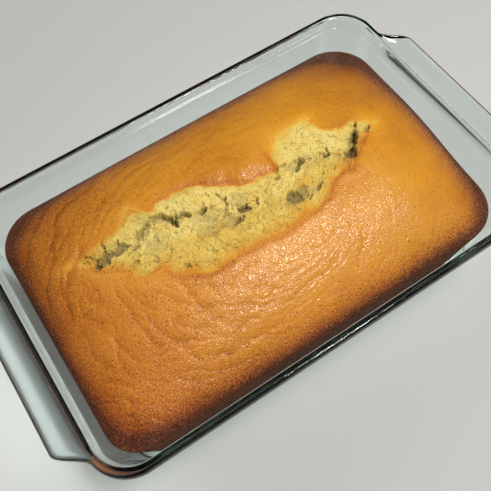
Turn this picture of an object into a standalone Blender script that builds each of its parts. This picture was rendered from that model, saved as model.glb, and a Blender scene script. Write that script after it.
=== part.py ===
"""Banana bread, baked in and still lying in its clear glass loaf dish.

Two solids, in metres, with +Z up and the origin on the ground under the middle of the dish:

loaf         one complete bread: flat bottom, leaning sides, domed crust, and the long tear along
             the crown that the rising crumb opened.
glass_dish   a pressed glass loaf dish with a tab handle at each end, open at the top.

+X runs along the dish from handle to handle and +Y across it.
"""
import math

import bpy
import numpy as np

MM = 0.001
OBJECT_NAME = "banana_bread"

# Glass dish (mm)
RIM_X = 114.5            # half length over the rim, without the handles
RIM_Y = 75.8             # half width over the rim
RIM_R = 18.5             # corner radius of the rim
DISH_HEIGHT = 66.0
WALL = 4.0               # glass thickness at the rim
BASE = 5.0               # glass thickness under the bread
DRAFT = math.radians(12)  # lean of the walls, wider at the top
RIM_BAND = 5.5           # height of the thicker band round the rim
FOOT_ROUND = 7.0         # outside rounding between wall and base
INNER_ROUND = 8.0        # inside rounding between wall and floor
TAB_REACH = 11.8         # how far a handle stands out from the rim
TAB_MIDDLE = -5.5        # a handle's middle, across the dish
TAB_END = 56.0           # a handle dies out this far from its middle
TAB_FADE = 13.0          # length over which its corner rounds off
TAB_SUNK = 2.8           # the handle's hollow lies this far under the rim
TAB_LIP = 1.0            # and its outer bead this far

# Bread (mm)
GAP = 0.3                # clearance between bread and glass
OFF_MIDDLE = (-0.5, -0.8, 0.0)  # the bread's middle lies this far from the dish's
LOAF_X = 104.4           # half length at the shoulder, the widest level
LOAF_Y = 65.4            # half width at the shoulder
LOAF_R = 21.0            # corner radius at the shoulder
SHARP_R = 15.0           # and at the near left corner
STAND_BACK = 4.0         # the right end shrank from the glass this far at its near corner
SHOULDER_Z = 54.0        # height of the shoulder above the ground
DOME = 24.0              # rise of the crown above the shoulder
DOME_POWER_X = 3.2       # flatness of the dome along and across the bread
DOME_POWER_Y = 2.4
DOME_EDGE = 0.8          # roundness of the edge, smaller is rounder
SIDE_DRAFT = 7.4         # how much the sides lean in, from shoulder to bottom
HEEL = 6.0               # rounding of the bottom edge

# Tear along the crown (mm): where its two lips lie, across the bread, at places along it
TEAR_X = (-79.0, -70.0, -60.0, -47.0, -35.0, -15.0, 5.0, 20.0, 33.0, 46.0, 58.0, 67.0, 74.0)
FAR_LIP = (17.0, 18.0, 18.0, 21.5, 21.5, 17.5, 7.0, 7.5, 17.0, 17.0, 7.5, 8.0, 4.0)
NEAR_LIP = (14.0, 2.0, -6.0, -14.0, -21.5, -23.5, -24.5, -22.5, -18.0, -12.5, -5.0, 0.0, 3.0)
CRUMB_SINK = 1.0         # crumb below the crust beside the near lip
CRUMB_SLOPE = 6.5        # further fall of the crumb towards the far lip
LIP_RISE = 1.6           # the far lip curls up by this much
LIP_WIDTH = 5.0
LUMP_COUNT = 70          # torn lumps and pits in the crumb
LUMP_SIZE = (2.6, 5.6)
LUMP_RISE = 3.0

WRINKLE_RISE = 0.4       # soft folds of the crust
WRINKLE_PITCH = 17.0
SEED = 11

# Mesh fineness
GRID_X = 92              # columns along the bread
ROWS_NEAR = 13           # rows across it, from the near edge to the tear
ROWS_TEAR = 22           # in the tear
ROWS_FAR = 12            # from the tear to the far edge
GRID_Y = ROWS_NEAR + ROWS_TEAR + ROWS_FAR
MIN_BAND = 4.0           # the tear's rows never crowd closer than this on each side of its middle
LIP_STEP = 1.0           # the crumb starts this far inside the far lip
END_POINTS = 22
CORNER_POINTS = 8
SIDE_POINTS = 4


def smooth(value):
    """A step from 0 to 1 with level ends."""
    value = np.clip(value, 0.0, 1.0)
    return value * value * (3.0 - 2.0 * value)


def make_material(name, colour, roughness, transmission=0.0, ior=1.5):
    """A Principled material with plain values."""
    material = bpy.data.materials.new(name)
    material.use_nodes = True
    shader = material.node_tree.nodes["Principled BSDF"]
    shader.inputs["Base Color"].default_value = (*colour, 1.0)
    shader.inputs["Roughness"].default_value = roughness
    shader.inputs["Metallic"].default_value = 0.0
    shader.inputs["Transmission Weight"].default_value = transmission
    shader.inputs["IOR"].default_value = ior
    return material


def add_solid(name, vertices, faces, material, collection):
    """Make one object from millimetre points and put it in the collection."""
    mesh = bpy.data.meshes.new(name)
    mesh.from_pydata((np.asarray(vertices) * MM).tolist(), [], faces)
    mesh.validate()
    mesh.shade_smooth()
    mesh.set_sharp_from_angle(angle=math.radians(40))
    mesh.materials.append(material)
    solid = bpy.data.objects.new(name, mesh)
    collection.objects.link(solid)
    return solid


# ---------------------------------------------------------------- glass dish

def handle_share(y):
    """How much of a handle there is at a place across the dish's end: 1 in the middle, 0 beyond."""
    return smooth((TAB_END - np.abs(y - TAB_MIDDLE)) / TAB_FADE)


def rounded_outline(half_x, half_y, radius):
    """Points round a rounded rectangle, with how far each faces along x: 1 and -1 on the ends."""
    points = []
    for quarter in range(4):
        sign_x = 1.0 if quarter in (0, 3) else -1.0
        sign_y = 1.0 if quarter in (0, 1) else -1.0
        for step in range(CORNER_POINTS):
            turn = math.pi / 2 * (quarter + step / (CORNER_POINTS - 1))
            facing = sign_x * abs(math.cos(turn)) ** 4
            points.append((sign_x * (half_x - radius) + radius * math.cos(turn),
                           sign_y * (half_y - radius) + radius * math.sin(turn), facing))
        if quarter % 2 == 0:
            for step in range(1, SIDE_POINTS + 1):
                x = sign_x * (half_x - radius) * (1.0 - 2.0 * step / (SIDE_POINTS + 1))
                points.append((x, sign_y * half_y, 0.0))
        else:
            for step in range(1, END_POINTS + 1):
                swing = math.sin(math.pi * (step / (END_POINTS + 1) - 0.5))
                y = -sign_y * (half_y - radius) * swing
                points.append((sign_x * half_x, y, sign_x))
    return np.array(points)


def dish_ring(inset, z, reach, sunk, rounding=0.0):
    """One level of the dish. On a handle it moves out by reach and down by sunk."""
    half_x = RIM_X - inset
    half_y = RIM_Y - inset
    outline = rounded_outline(half_x, half_y, RIM_R - 0.55 * inset + rounding)
    share = handle_share(outline[:, 1]) * np.abs(outline[:, 2])
    x = outline[:, 0] + outline[:, 2] * share * reach
    return np.column_stack([x, outline[:, 1], z - share * sunk])


def lean(z):
    """How far the wall has moved in at a height."""
    return (DISH_HEIGHT - z) * math.tan(DRAFT)


def rounding_levels(low_inset, z_floor, radius, steps):
    """A quarter round from a level floor up into the leaning wall."""
    levels = []
    for step in range(steps + 1):
        turn = math.pi / 2 * step / steps
        z = z_floor + radius * (1.0 - math.cos(turn))
        levels.append((low_inset + radius * (1.0 - math.sin(turn)), z))
    return levels


def dish_rings():
    """All levels of the dish, from under its base over the rim to its floor."""
    top = DISH_HEIGHT
    outer_foot = 1.4 + lean(FOOT_ROUND)
    inner_foot = WALL + lean(BASE + INNER_ROUND)
    rings = [dish_ring(inset, z, 0, 0)
             for inset, z in rounding_levels(outer_foot, 0.0, FOOT_ROUND, 3)]
    rings.append(dish_ring(1.4 + lean(top - RIM_BAND - 2.5), top - RIM_BAND - 2.5, 0, 0))
    rings.append(dish_ring(0.4, top - RIM_BAND, TAB_REACH - 2.0, 0))
    rings.append(dish_ring(0.0, top - RIM_BAND + 1.5, TAB_REACH, 0))
    rings.append(dish_ring(0.0, top - 1.6, TAB_REACH, TAB_LIP))
    rings.append(dish_ring(0.5, top - 0.4, TAB_REACH, TAB_LIP))
    rings.append(dish_ring(1.3, top, TAB_REACH, TAB_LIP))
    rings.append(dish_ring(1.8, top, TAB_REACH - 2.4, TAB_SUNK))
    rings.append(dish_ring(2.2, top, 1.2, TAB_SUNK))
    rings.append(dish_ring(2.6, top, 0, 0))
    rings.append(dish_ring(3.4, top - 0.4, 0, 0))
    rings.append(dish_ring(WALL, top - 1.6, 0, 0))
    inner = rounding_levels(inner_foot, BASE, INNER_ROUND, 3)
    rings += [dish_ring(inset, z, 0, 0) for inset, z in reversed(inner)]
    return rings


def skin_rings(rings):
    """Join a stack of rings with quads and close the first and the last with a flat face."""
    count = len(rings[0])
    faces = [list(range(count))[::-1]]
    for level in range(len(rings) - 1):
        low = level * count
        high = low + count
        for step in range(count):
            after = (step + 1) % count
            faces.append((low + step, low + after, high + after, high + step))
    last = (len(rings) - 1) * count
    faces.append(list(range(last, last + count)))
    return np.concatenate(rings), faces


def build_dish(collection):
    """The glass dish as one closed skin, its outside rising and its inside falling."""
    vertices, faces = skin_rings(dish_rings())
    glass = make_material("clear_glass", (0.80, 0.91, 0.89), 0.03, transmission=1.0, ior=1.49)
    return add_solid("glass_dish", vertices, faces, glass, collection)


# ---------------------------------------------------------------- bread

def smooth_curve(x, places, heights):
    """A smooth curve through a few points: cubic pieces that meet with equal slopes."""
    places = np.array(places)
    heights = np.array(heights)
    slopes = np.gradient(heights, places)
    x = np.clip(x, places[0], places[-1])
    piece = np.clip(np.searchsorted(places, x) - 1, 0, len(places) - 2)
    width = places[piece + 1] - places[piece]
    u = (x - places[piece]) / width
    start = heights[piece] + (heights[piece + 1] - heights[piece]) * u * u * (3.0 - 2.0 * u)
    lean_in = slopes[piece] * (u * u * u - 2.0 * u * u + u)
    lean_out = slopes[piece + 1] * (u * u * u - u * u)
    return start + width * (lean_in + lean_out)


def tear_lips(x):
    """Far and near lip of the tear at places along the bread; they meet beyond its ends."""
    return smooth_curve(x, TEAR_X, FAR_LIP), smooth_curve(x, TEAR_X, NEAR_LIP)


def dome_height(s, t):
    """Height of the whole crust, for places from -1 to 1 along and across the bread."""
    along = np.clip(1.0 - np.abs(s) ** DOME_POWER_X, 0.0, 1.0) ** DOME_EDGE
    across = np.clip(1.0 - np.abs(t) ** DOME_POWER_Y, 0.0, 1.0) ** DOME_EDGE
    return SHOULDER_Z + DOME * along * across


def wrinkles(x, y, s, t):
    """Soft folds that run round the tear and fade out at the edge of the crust."""
    far, near = tear_lips(x)
    aside = np.maximum(y - far, near - y)
    sway = 1.9 * np.sin(x / 21.0 + 0.4) + 1.3 * np.sin(x / 9.0 - y / 13.0) + 0.8 * np.sin(y / 7.0)
    wave = np.sin(2 * math.pi * aside / WRINKLE_PITCH + sway)
    fade = smooth(aside / 12.0) * smooth((1.0 - np.maximum(np.abs(s), np.abs(t))) * 5.0)
    return WRINKLE_RISE * wave * fade


def lumps(x, y):
    """Torn lumps and pits, spread along the tear by a seeded draw."""
    draw = np.random.default_rng(SEED)
    relief = np.zeros_like(x)
    for count in range(LUMP_COUNT):
        middle_x = draw.uniform(TEAR_X[0] + 6.0, TEAR_X[-1] - 6.0)
        far, near = tear_lips(middle_x)
        middle_y = near + (far - near) * draw.uniform(0.1, 0.95)
        size = draw.uniform(*LUMP_SIZE)
        rise = LUMP_RISE * draw.uniform(0.4, 1.0) * (-1.0 if count % 3 == 0 else 1.0)
        distance = ((x - middle_x) / size) ** 2 + ((y - middle_y) / (0.8 * size)) ** 2
        relief += rise * np.exp(-distance)
    return relief


def tear_relief(x, y):
    """Relief of the tear: crumb that falls away under a raised far lip."""
    far, near = tear_lips(x)
    open_width = np.maximum(far - near, 0.5)
    part = (y - near) / open_width
    inside = smooth((y - near) / 1.5) * smooth((far - y) / LIP_STEP)
    inside = inside * smooth((x - TEAR_X[0]) / 6.0) * smooth((TEAR_X[-1] - x) / 5.0)
    fall = CRUMB_SINK + CRUMB_SLOPE * np.clip(part, 0.0, 1.0) ** 2 * smooth(open_width / 16.0)
    beyond = (y - far) / LIP_WIDTH
    lip = LIP_RISE * np.exp(-((beyond - 0.6) / 0.6) ** 2) * (beyond > -0.2)
    lip = lip * smooth((x + 66.0) / 20.0) * smooth((62.0 - x) / 18.0)
    return inside * (lumps(x, y) - fall) + lip * (1.0 - inside)


def even_to_edge(count, crowd):
    """Places from -1 to 1, closer together near the ends."""
    place = np.linspace(-1.0, 1.0, count)
    return (1.0 - crowd) * place + crowd * np.sin(math.pi / 2 * place)


def round_corners(x, y, half_x, half_y):
    """Turn the square corners of a grid into round ones; the rest stays where it is."""
    radius = np.where((x < 0) & (y < 0), SHARP_R, LOAF_R)
    over_x = np.maximum(np.abs(x) - (half_x - radius), 0.0)
    over_y = np.maximum(np.abs(y) - (half_y - radius), 0.0)
    large = np.maximum(over_x, over_y)
    small = np.minimum(over_x, over_y)
    turn = math.pi / 4 * small / np.maximum(large, 1e-9)
    moved_large = large * np.cos(turn)
    moved_small = large * np.sin(turn)
    new_x = np.where(over_x >= over_y, moved_large, moved_small)
    new_y = np.where(over_x >= over_y, moved_small, moved_large)
    new_x = np.where(over_x > 0, np.sign(x) * (half_x - radius + new_x), x)
    new_y = np.where(over_y > 0, np.sign(y) * (half_y - radius + new_y), y)
    return new_x, new_y


def stand_back(x, y):
    """The right end, moved in from the glass, most of all at its near corner."""
    return x - STAND_BACK * smooth((x - 35.0) / (LOAF_X - 35.0)) * smooth((14.0 - y) / 64.0)


def crust_rows(x):
    """Where the grid's rows lie across one column, so that two of them follow the tear's lips."""
    far, near = tear_lips(x)
    middle = (far + near) / 2.0
    half = max((far - near) / 2.0, MIN_BAND)
    to_edge = np.sin(math.pi / 2 * np.linspace(0.0, 1.0, ROWS_NEAR + 1)[1:])
    near_rows = (middle - half) + (-LOAF_Y - middle + half) * to_edge[::-1]
    tear_rows = np.linspace(middle - half, middle + half - LIP_STEP, ROWS_TEAR)
    to_edge = np.sin(math.pi / 2 * np.linspace(0.0, 1.0, ROWS_FAR))
    far_rows = (middle + half) + (LOAF_Y - middle - half) * to_edge
    return np.concatenate([near_rows, tear_rows, far_rows])


def crust_grid():
    """The bread's top as a grid of points, its border lying on the shoulder."""
    columns = even_to_edge(GRID_X, 0.3) * LOAF_X
    x = np.repeat(columns[:, None], GRID_Y, axis=1)
    y = np.array([crust_rows(column) for column in columns])
    s = x / LOAF_X
    t = y / LOAF_Y
    x, y = round_corners(x, y, LOAF_X, LOAF_Y)
    x = stand_back(x, y)
    z = dome_height(s, t) + wrinkles(x, y, s, t) + tear_relief(x, y)
    return np.stack([x, y, z], axis=-1)


def border_order():
    """Grid places round the border, anticlockwise from above."""
    last_x = GRID_X - 1
    last_y = GRID_Y - 1
    order = [(i, 0) for i in range(last_x)]
    order += [(last_x, j) for j in range(last_y)]
    order += [(i, last_y) for i in range(last_x, 0, -1)]
    order += [(0, j) for j in range(last_y, 0, -1)]
    return order


def side_levels():
    """Inset and height of the levels under the shoulder, the last one being the bottom's edge."""
    bottom = BASE + GAP
    levels = [(SIDE_DRAFT * share, SHOULDER_Z - share * (SHOULDER_Z - bottom - HEEL))
              for share in (0.12, 0.5, 1.0)]
    for step in (1, 2):
        turn = math.pi / 4 * step
        levels.append((SIDE_DRAFT + HEEL * (1.0 - math.cos(turn)),
                       bottom + HEEL * (1.0 - math.sin(turn))))
    return levels


def build_loaf(collection):
    """The bread as one closed skin: crust grid, leaning sides and a flat bottom."""
    grid = crust_grid()
    border = border_order()
    rim = np.array([grid[i, j] for i, j in border])
    rings = []
    for inset, z in side_levels():
        ring = rim.copy()
        ring[:, 0] *= (LOAF_X - inset) / LOAF_X
        ring[:, 1] *= (LOAF_Y - inset) / LOAF_Y
        ring[:, 2] = z
        rings.append(ring)
    vertices = np.concatenate([grid.reshape(-1, 3)] + rings) + OFF_MIDDLE
    faces = [(i * GRID_Y + j, (i + 1) * GRID_Y + j, (i + 1) * GRID_Y + j + 1, i * GRID_Y + j + 1)
             for i in range(GRID_X - 1) for j in range(GRID_Y - 1)]
    count = len(border)
    upper = [i * GRID_Y + j for i, j in border]
    for level in range(len(rings)):
        start = GRID_X * GRID_Y + level * count
        lower = list(range(start, start + count))
        for step in range(count):
            after = (step + 1) % count
            faces.append((upper[step], lower[step], lower[after], upper[after]))
        upper = lower
    faces.append(upper[::-1])
    crust = make_material("baked_crust", (0.58, 0.27, 0.05), 0.55)
    return add_solid("loaf", vertices, faces, crust, collection)


def main():
    for old in list(bpy.data.objects):
        bpy.data.objects.remove(old, do_unlink=True)
    collection = bpy.data.collections.new(OBJECT_NAME)
    bpy.context.scene.collection.children.link(collection)
    build_loaf(collection)
    build_dish(collection)


main()
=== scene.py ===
"""Looks of a banana bread that lies in the clear glass loaf dish it was baked in.

Sizes are millimetres in the part's own frame: +X along the dish, +Y across it, +Z up. Pieces are
worked out with numpy and turned into metres when their mesh is made.
"""

import math

import bpy
import numpy as np
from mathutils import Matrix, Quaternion, Vector


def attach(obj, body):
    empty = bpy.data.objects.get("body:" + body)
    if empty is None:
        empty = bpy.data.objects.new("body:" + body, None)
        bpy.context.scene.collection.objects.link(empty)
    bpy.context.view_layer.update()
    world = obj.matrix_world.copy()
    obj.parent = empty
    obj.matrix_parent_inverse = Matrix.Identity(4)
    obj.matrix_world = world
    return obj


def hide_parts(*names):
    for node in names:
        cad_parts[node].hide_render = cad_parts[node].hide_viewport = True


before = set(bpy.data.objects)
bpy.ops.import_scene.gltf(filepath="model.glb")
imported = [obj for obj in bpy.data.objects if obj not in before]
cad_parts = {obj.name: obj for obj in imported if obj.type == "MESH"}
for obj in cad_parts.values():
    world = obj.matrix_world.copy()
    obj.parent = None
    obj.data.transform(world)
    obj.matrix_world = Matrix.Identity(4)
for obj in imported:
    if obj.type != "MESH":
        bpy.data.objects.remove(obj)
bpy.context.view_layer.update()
MM = 0.001

# ---- glass dish, in millimetres

RIM_X = 114.5                     # half length over the rim, without the handles
RIM_Y = 75.8                      # half width
RIM_R = 18.5                      # its corners
RIM_BAND = 5.5                    # height of the rolled rim
RIM_STEP = 1.4                    # how far the rim stands out over the wall
DISH_HEIGHT = 66.0
WALL = 4.0
BASE = 5.0
DRAFT = math.radians(12)          # lean of the walls
FOOT_ROUND = 7.0                  # rounding under the base
INNER_ROUND = 8.0                 # and inside it
TAB_REACH = 11.8                  # how far a handle stands out
TAB_MIDDLE = -5.5                 # its middle, across the dish
TAB_END = 56.0                    # its half width
TAB_FADE = 13.0                   # over this width it runs out into the rim
TAB_SUNK = 2.8                    # how deep its web lies
TAB_LIP = 1.0                     # and its lip

# The rim and a handle, from the outer wall to the inner: how far in each level lies, how far over
# the dish's height, and how far out and down it goes on a handle
RIM_LEVELS = (
    (0.6, -RIM_BAND - 0.4, TAB_REACH - 2.4, 0.0), (0.0, -RIM_BAND + 1.0, TAB_REACH, 0.0),
    (-0.1, -2.4, TAB_REACH, 0.6 * TAB_LIP), (0.1, -0.5, TAB_REACH, TAB_LIP),
    (1.0, 0.2, TAB_REACH, TAB_LIP), (1.6, 0.1, TAB_REACH - 1.8, TAB_LIP + 0.2),
    (1.9, 0.1, TAB_REACH - 3.6, TAB_SUNK), (2.1, 0.1, 5.0, TAB_SUNK + 0.4),
    (2.2, 0.1, 1.6, TAB_SUNK), (2.5, 0.1, 0.2, 0.6), (3.2, 0.1, 0.0, 0.0),
    (WALL - 0.1, -0.5, 0.0, 0.0), (WALL + 0.1, -2.0, 0.0, 0.0))
OUTER_WALL_Z = (20.0, 40.0, DISH_HEIGHT - RIM_BAND - 5.0, DISH_HEIGHT - RIM_BAND - 2.5)
INNER_WALL_Z = (DISH_HEIGHT - 6.0, 45.0, 30.0, 18.0)

# ---- bread, in millimetres

OFF_MIDDLE = (-0.5, -0.8, 0.0)    # its middle, from the dish's
LOAF_X = 104.4                    # half length at the shoulder
LOAF_Y = 65.4                     # half width there
LOAF_R = 21.0                     # its corners
SHARP_R = 15.0                    # the near left one
STAND_BACK = 4.0                  # how far the right end stands back from the glass
SHOULDER_Z = 54.0                 # where the dome starts
DOME = 24.0                       # its rise
DOME_POWER_X = 3.2                # how flat it is along the bread
DOME_POWER_Y = 2.4                # and across
DOME_EDGE = 0.8                   # how steeply it starts
SIDE_DRAFT = 7.4                  # how far the sides lean in
HEEL = 6.0                        # rounding of the bottom's edge
LOAF_BOTTOM = BASE + 0.15
SIDE_TONE = 0.86                  # browning of the sides

# Open crumb
FAR_DROP = 3.2                    # the far half falls this far from its lip to the crevice
NEAR_DROP = 4.1                   # and the near half this far
LIP_DROP = 3.4                    # the far lip is rounded: it falls this much
LIP_OUT = 10.5                    # over this width
CRUST_UNDER = 17.0                # the crust's skin passes this far under the crumb
CRUMB_FOOT = 48.0                 # height of the crumb body's flat foot
UNDER_NEAR = 4.0                  # the crumb passes this far under the near lip
UNDER_FAR = 6.0                   # and under the far one
TABLE_EYE = (-85.0, -143.0, 268.0)    # over the crust: from here the crumb's places were chosen
NUGGET = (-10.6, -3.4, 1.9, 2.2, 0)   # loose crumb: place, half length, half width, turn
NUGGET_HEIGHT = 2.4

# Wrinkles of the crust: rings about a place, their sway (size, amount, seed), and three kinds from
# wide to tight (spacing, bends on the way round, seed)
RING_MIDDLE = (-12.0, -6.0)
RING_STRETCH = 1.4
RING_SWAY = ((18.0, 2.2, 51), (7.0, 1.0, 52), (3.0, 0.4, 53))
WRINKLES = ((7.5, 14, 61), (4.1, 24, 64), (2.3, 40, 67))

# Round places on the crust: place along, place across, half length, half width and strength
FRONT = ((-8, -47, 55, 13, 1.0),)
GLAZED = ((4, -34, 42, 14, 1.0), (3, 13, 18, 8, 1.0))
STRETCHED = ((29, 19, 11, 7, 1.0), (46, 22, 7, 6, 0.8), (-48, 26, 6, 5, 0.7))
BROWNER = ((48, -19, 27, 12, 0.045), (74, 8, 16, 14, 0.04), (-82.5, 19.8, 4.5, 2.2, -0.20))
TOASTED = ((-48, 26, 8, 7, 0.45),)

# Gas bubbles: cell size, seed and the largest radius in cells
BUBBLES = ((4.2, 101, 0.14), (2.3, 111, 0.17), (1.4, 117, 0.26))

# Torn layers: size along and across, seed, noise level of a step's foot, its slope, height and the
# strength of the painted shadow at its foot
SHELVES = ((8.5, 6.5, 181, 0.20, 0.14, 0.85, 1.0), (5.0, 4.5, 191, 0.25, 0.13, 0.50, 0.8))

# Tear along the crown: the run of its two lips, which the rows of both meshes follow
TEAR_X = (
    -81, -72, -62, -54, -48, -42, -34, -24, -14, -4, 6, 14, 20, 28, 38, 46, 54, 62, 68, 75)
FAR_LIP = (
    15, 18.5, 18.5, 21, 23, 20.5, 21, 20.5, 16.5, 10.5, 7, 7.5, 11.5, 17.5, 20, 16.5, 10, 8, 6.5, 3.5)
NEAR_LIP = (
    14, 5, -3, -8.5, -12.5, -17.5, -21.8, -22, -22.6, -23.4, -24, -22.8, -22, -19.5, -14.5, -12.6, -8.5,
    -2, -0.5, 2.5)

# Its outline: the far edge of the crumb from left to right, then the near edge back
TEAR_EDGE = (
    (-80.5, 16.5), (-78, 18.6), (-72, 18.4), (-66, 18), (-60, 18.6), (-55, 20.4), (-51.5, 22.8),
    (-48, 26.5), (-45, 23.5), (-42.5, 19.3), (-39.5, 18.2), (-36.5, 20.2), (-31, 21.1), (-25, 20.9),
    (-20, 20), (-16, 18.4), (-12, 15.4), (-8, 12.3), (-5, 11.2), (-2.5, 9), (0, 6.4), (5, 6.1), (10, 6.1),
    (14, 5.2), (17.5, 3.9), (18.9, 4.2), (19.2, 9.5), (20.5, 12.8), (24, 15.6), (28, 18.9), (33, 20.2),
    (40, 20.5), (44.5, 19.6), (46, 15.8), (46.8, 12.6), (49, 10.4), (52.5, 8.9), (56.5, 7.3), (60.5, 7.4),
    (63.5, 8.6), (67, 6.9), (70.5, 5.4), (74.5, 3.3), (70, 0.9), (66, -0.8), (62.5, -1.5), (60, -3.3),
    (57.3, -5.2), (55.4, -7.9), (53, -9.5), (50.3, -10.3), (48.9, -12.3), (46.8, -13.5), (44, -12.4),
    (40, -12.9), (36.5, -14.1), (33.5, -16.2), (31.5, -18.6), (28.5, -20.4), (24, -21.4), (19, -22),
    (14, -22.6), (9, -23.6), (4, -24.3), (0, -24.5), (-3.5, -23.5), (-7, -22.6), (-12, -22.7),
    (-16, -21.9), (-20.5, -21.6), (-25, -22.6), (-30, -23.1), (-34, -22.4), (-37.5, -20.8), (-41, -18.2),
    (-44.5, -16.4), (-47.5, -13.8), (-50, -10), (-54, -9), (-57.5, -8.3), (-60.5, -5.4), (-64, -1.8),
    (-68, 1.6), (-71.5, 4.4), (-75, 8), (-78, 12.2))

# Crevice between the far and the near half of the crumb: along, across, depth, reach towards the
# near half
CREVICE = np.array((
    (-80, 15, 0, 1), (-72, 12, 0.3, 2), (-64, 12.3, 0.4, 3), (-57, 10, 0.4, 3), (-51, 10.5, 0.6, 4),
    (-45.5, 13.6, 0.8, 2.4), (-40.5, 15.8, 0.9, 2.6), (-37, 12.8, 0.6, 2.8), (-34.3, 9.4, 1.4, 2),
    (-30, 8.6, 1.4, 1.1), (-25.5, 6.3, 0.9, 1.6), (-21, 6.2, 1.2, 2.6), (-17, 3.2, 0.4, 2),
    (-12, 1.6, 0.3, 2.4), (-8, -1.4, 0.6, 1.8), (-3.5, -3.8, 0.7, 1.6), (3, -3.6, 0.7, 2),
    (12, 1.5, 0.2, 3), (20, 0.6, 0.4, 3.6), (28, 2.6, 0.8, 3.6), (35, 0.6, 0.7, 3.4), (41, 0, 0.9, 3.4),
    (47, -5, 1.2, 3.4), (55, -3, 1.4, 3), (63, 5, 1.6, 2), (70, 4, 0.6, 1), (75, 3.5, 0, 1))).T

# Hollows between torn edges: their outlines, depths and how wide their rims slope
HOLLOWS = (
    (((-43, 13.4), (-41.4, 15.6), (-39.2, 15.2), (-37, 12.6), (-35.4, 10.2), (-32.6, 8.9), (-30.2, 9.2),
      (-30.6, 7.8), (-33.2, 6.8), (-34.6, 4.8), (-36.4, 7.2), (-39.4, 9.6), (-42.6, 11.8)), 1.3, 1),
    (((-73, 9.8), (-71.5, 11.6), (-69, 12.6), (-66.5, 12.3), (-63.5, 12.7), (-61, 12.3), (-59.2, 13.2),
      (-57.6, 11.4), (-56.6, 9.4), (-59, 8), (-61.5, 8.3), (-64, 9), (-67, 8.7), (-69.5, 8), (-72.3, 7.9)),
      2.3, 0.9),
    (((12.5, -11.4), (13, -9.9), (14.4, -8.9), (16.2, -8.4), (18, -8.6), (19.4, -9.8), (20, -11.8),
      (19.8, -13.8), (18.6, -15.4), (16.8, -15), (14.8, -14.2), (13.2, -13.2)), 3.1, 1.4),
    (((19, -10), (20.6, -9.4), (22.6, -8.9), (23.8, -11.2), (22.6, -14), (20.6, -15.6), (19, -14.6)),
      2, 1.2),
    (((9, -14), (12, -12.8), (14.4, -14.2), (13.4, -15.6), (10.6, -15.4)), 1.6, 1),
    (((-27, -2.6), (-23.5, -1.6), (-20, -3.4), (-19.2, -6.8), (-23.9, -9.6), (-26.2, -6.4)), 1.3, 3),
    (((42, -10.6), (46, -5.6), (51, -0.2), (55.6, 5.2), (60.5, 6.4), (63.5, 5), (63.2, 1), (61.6, -2.4),
      (58, -5.4), (56.2, -8.6), (52.6, -11), (47, -12)), 2.2, 5.5),
    (((50.2, -9.8), (50.6, -7.6), (52.2, -5), (54.4, -3.9), (56, -4.4), (56.2, -6.6), (54.6, -8.6),
      (52.6, -9.8)), 4.8, 0.9),
    (((56.8, -2.6), (57.2, 0.6), (59, 2.2), (61.2, 2.4), (61.8, 0.6), (60.4, -0.8), (59.4, -2.2),
      (57.6, -3)), 3.2, 1),
    (((65.8, 0.3), (67, 2.4), (70.2, 3), (69.2, 1), (67, -0.2)), 2.4, 0.9))

# Broad dips of the crumb, moist and greyed by painted shade: place along, place across, half length,
# half width, turn, depth
DIPS = (
    (-64, 10.3, 9, 2.2, 0, 0.5), (-50, 9.8, 7.5, 2.4, 28, 0.7), (-46, 16.5, 5, 4, 0, 0.4),
    (-38, 14, 5, 2.6, -50, 0.8), (-22, 3, 10, 3.8, -25, 0.75), (-25, -5, 5, 4.8, 0, 0.65),
    (-13, -6.5, 9.5, 3.4, -12, 0.8), (-10, -13, 4.5, 1.6, 0, 0.6), (6, -11.5, 10, 3.4, -14, 0.3),
    (-5, 0.5, 6, 4.2, 0, 0.65), (-46, 3, 7, 5, 10, 0.45), (19, -12.5, 10.5, 4.4, 0, 0.7),
    (27, 1, 9, 3.2, 5, 0.6), (37, -2.4, 11, 3, -6, 0.45), (45, -7, 7, 3, 28, 0.4),
    (-56, 2, 5, 1.6, 40, 0.4), (35.5, 8, 2.6, 2, 0, 0.5))
DIP_DEPTH = 1.3

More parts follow.
